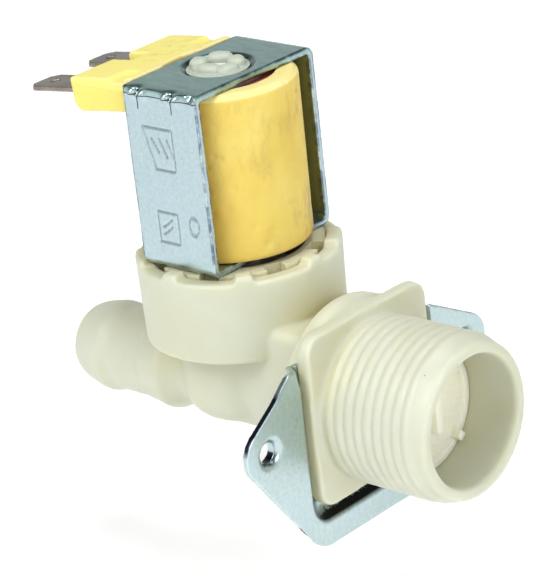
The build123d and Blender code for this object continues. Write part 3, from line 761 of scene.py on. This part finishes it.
def stake_joint(points, x, y, z, outside, edge):
    """Lumps, pits, notch and burr of the staked joint, along the plate's top edge up to edge."""
    for stake in STAKES:
        for side, lift in ((-1.0, 0.55), (0.95, 0.62)):
            lump = np.exp(-(np.hypot(x - stake - side, z - edge.z + 1.05) / 0.72) ** 2)
            points[:, 1] -= lift * lump * outside
        pit = np.exp(-(np.hypot(x - stake, z - edge.z + 0.75) / 0.55) ** 2)
        points[:, 1] += 0.7 * pit * outside
        dent = np.exp(-(np.hypot(x - stake, y - edge.y) / 0.8) ** 2)
        points[:, 2] -= 0.45 * dent * (z > edge.z - 0.4)
    notch = np.exp(-(np.hypot(x - edge.x + 1.2, z - edge.z + 0.2) / 0.6) ** 2)
    points[:, 1] += 0.65 * notch * outside
    burr = np.exp(-(np.hypot(x - edge.x + 0.45, z - edge.z + 0.9) / 0.55) ** 2)
    points[:, 1] -= 0.3 * burr * outside


def outline(corners):
    """Strokes round a closed shape."""
    return list(zip(corners, corners[1:] + corners[:1]))


def plain_stamps(x, z, low, high):
    """Which points lie on the side plate's stamps: two hatched frames and an oval ring."""
    a, b, c, d = low.x + 3.2, low.x + 9.1, high.z - 6.1, high.z - 12.6
    strokes = outline([(a, c), (b, c), (b, d), (a + 2.0, d)])
    strokes += [((a + 1.6 * i, c - 1.6), (a + 1.6 * i + 1.4, c - 3.0 - 0.7 * i)) for i in (1, 2, 3)]
    a, b, c, d = low.x + 4.2, low.x + 8.3, low.z + 4.7, low.z + 9.6
    strokes += outline([(a, c), (b, c), (b, d), (a, d)])
    strokes += [((a + 1.0, c + 2.4 - 1.2 * i), (a + 2.9, c + 3.8 - 1.2 * i)) for i in (0, 1)]
    pressed = np.zeros(len(x), dtype=bool)
    for start, end in strokes:
        pressed |= near_stroke(x, z, start, end, 0.34)
    oval = np.hypot((x - low.x - 11.6) / 0.95, (z - low.z - 8.2) / 1.45)
    return pressed | (np.abs(oval - 1) < 0.2)


def make_yoke():
    """Yoke strip with a squared top corner, the staked joint and shallow stamps."""
    low, high = (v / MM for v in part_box("yoke"))
    blank = brick((low.x + 1.5, low.y, low.z + 3.0), (high.x - 1.5, low.y + 0.6, high.z - 4.0))
    mesh = revoxel(join_meshes([cad_copy("yoke"), blank]), 0.165)
    relax(mesh, 3)
    points = get_points(mesh)
    bend = 1.5
    u = (low.y + bend - points[:, 1]) / bend
    w = (points[:, 2] - high.z + bend) / bend
    corner = (u > 0) & (w > 0)
    squared = np.where(corner, np.hypot(u, w) / np.maximum(np.maximum(u, w), 0.05), 1.0) ** 0.8
    points[:, 1] = np.where(corner, low.y + bend - u * squared * bend, points[:, 1])
    points[:, 2] = np.where(corner, high.z - bend + w * squared * bend, points[:, 2])
    x, y, z = points.T.copy()
    outside = y < low.y + 0.5
    stake_joint(points, x, y, z, outside, Vector((high.x, low.y, high.z)))
    points[:, 1] += 0.16 * plain_stamps(x, z, low, high) * outside
    warp = np.sin(x * 0.5 + z * 0.17) + np.sin(z * 0.41 + y * 0.3)
    points[:, 1] += np.where(outside, 0.02 * warp + 0.04, 0)
    set_points(mesh, points)
    relax(mesh, 1)
    return finish_piece("yoke_strip", mesh, "valve", ["yoke"], MATERIALS["yoke_zinc"])


def make_casing():
    """Coil casing with soft edges and small knocks."""
    mesh = revoxel(cad_copy("coil_casing"), 0.24)
    relax(mesh, 4)
    points = get_points(mesh)
    knocks = np.random.default_rng(7)
    reach = np.hypot(points[:, 0] - AXIS_X, points[:, 1])
    for _ in range(26):
        angle = knocks.uniform(-math.pi / 2, math.pi / 2)
        height = knocks.uniform(24, 46)
        size = knocks.uniform(0.35, 0.8)
        spot = np.array([AXIS_X + 12 * math.cos(angle), 12 * math.sin(angle), height])
        near = np.exp(-(np.linalg.norm(points - spot, axis=1) / size) ** 2) * (reach > 11)
        depth = 0.17 * near
        points[:, 0] -= depth * (points[:, 0] - AXIS_X) / np.maximum(reach, 1)
        points[:, 1] -= depth * points[:, 1] / np.maximum(reach, 1)
    set_points(mesh, points)
    return finish_piece("casing_moulding", mesh, "valve", ["coil_casing"], MATERIALS["coil_yellow"])


def petal(angle, out, half_width, top):
    """Upright tongue with a rounded top, facing away from the solenoid's axis, angle in degrees."""
    shape = bmesh.new()
    bmesh.ops.create_uvsphere(shape, u_segments=32, v_segments=20, radius=1)
    turn = Matrix.Rotation(math.radians(angle), 3, "Z")
    for vert in shape.verts:
        boxy = [math.copysign(abs(c) ** power, c) for c, power in zip(vert.co, (0.75, 0.75, 0.6))]
        spot = turn @ Vector((out + 1.5 * boxy[0], half_width * boxy[1], 0))
        vert.co = spot + Vector((AXIS_X, 0, top - 1.5 + 1.5 * boxy[2]))
    mesh = bpy.data.meshes.new("petal")
    shape.to_mesh(mesh)
    shape.free()
    return mesh


def make_cap():
    """Cap pressed on the tube's pin: upright petals of uneven height round a hollow middle."""
    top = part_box("retaining_cap")[1].z / MM
    mesh = cad_copy("retaining_cap")
    points = get_points(mesh)
    points[:, 2] = np.minimum(points[:, 2], top - 1.6)
    set_points(mesh, points)
    parts = [mesh]
    for angle, out, half_width, drop in (
        (121, 2.1, 2.1, 0.0), (-153, 2.9, 1.6, 0.15), (46, 2.8, 1.8, 0.3),
        (-77, 2.5, 2.0, 0.45), (-16, 2.6, 1.9, 0.75), (-116, 2.7, 1.5, 0.7),
    ):
        parts.append(petal(angle, out, half_width, top - drop))
    mesh = revoxel(join_meshes(parts), 0.12)
    relax(mesh, 3)
    return finish_piece("cap_moulding", mesh, "valve", ["retaining_cap"], MATERIALS["cap_white"])


def make_strainer():
    """Strainer: rim, fine mesh face with a raised wedge in the middle and a pip on the rim."""
    low, high = (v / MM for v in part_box("inlet_strainer"))
    front = high.x - 2.4
    rim = (high.y - low.y) / 2
    back = front - 2.1
    hub = 0.01                  # the discs close on the axis
    face = rim - 0.6
    ring = [(rim - 1.1, front - 2.6), (rim, front - 2.6), (rim, front), (rim - 1.1, front)]
    disc = [(hub, back), (face, back), (face, front - 0.35), (hub, front - 0.35)]
    boss = [(hub, back), (3.6, back), (3.1, front + 0.1), (hub, front + 0.3)]
    parts = [
        lathe(ring, "X", (0, 0, 0)),
        lathe(disc, "X", (0, 0, 0)),
        lathe(boss, "X", (0, 0, 0)),
        brick((front - 1.0, -2.0, -3.4), (front + 2.3, 2.0, 3.4), 0.3),
        brick((front - 1.4, rim - 1.9, -0.7), (front + 1.5, rim - 0.6, 0.7), 0.97, -48),
    ]
    mesh = revoxel(join_meshes(parts), 0.14)
    relax(mesh, 3)
    points = get_points(mesh)
    x, y, z = points.T.copy()
    reach = np.hypot(y, z)
    mesh_face = (np.abs(x - front + 0.35) < 0.12) & (reach > 3.6) & (reach < rim - 1.2)
    weave = np.maximum(np.cos(2 * math.pi * y / 0.8), np.cos(2 * math.pi * z / 0.8))
    points[:, 0] += np.where(mesh_face, 0.09 * weave - 0.09, 0)
    set_points(mesh, points)
    nylon = MATERIALS["strainer_nylon"]
    return finish_piece("strainer_moulding", mesh, "strainer", ["inlet_strainer"], nylon)


def make_blades():
    for node in ("terminal_near", "terminal_far"):
        mesh = revoxel(cad_copy(node), 0.13)
        relax(mesh, 3)
        finish_piece(f"{node}_blade", mesh, "valve", [node], MATERIALS["terminal_metal"])


def make_soft_parts():
    """The closing spring on a mesh of its own, and the membrane rebuilt as a turned middle and a fold."""
    mesh = cad_copy("plunger_spring")
    spring = finish_piece("closing_spring", mesh, "valve", ["plunger_spring"], MATERIALS["spring_steel"])
    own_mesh(spring)
    membrane_low, membrane_high = (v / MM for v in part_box("diaphragm_membrane"))
    centre = (AXIS_X, 0, membrane_low.z)
    rubber = MATERIALS["black_rubber"]
    hub = lathe([(1.57, 1.17), (6.9, 1.17), (6.9, 2.03), (1.57, 2.03)], "Z", centre)
    finish_piece("membrane_middle", hub, "diaphragm", ["diaphragm_membrane"], rubber)
    fold = lathe([
        (7.1, 1.2), (8.2, 0.85), (9.3, 1.3), (10.9, 1.5), (11.3, 0.05), (13.3, 0.05),
        (13.35, 2.85), (11.3, 2.85), (10.8, 2.4), (9.2, 2.0), (8.2, 1.6), (7.1, 2.0),
    ], "Z", centre)
    fold = finish_piece("membrane_fold", fold, "valve", ["diaphragm_membrane"], rubber)
    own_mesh(fold)


add_camera()
add_studio()
dress_nodes()
make_body()
make_bracket()
make_yoke()
make_casing()
make_cap()
make_strainer()
make_blades()
make_soft_parts()
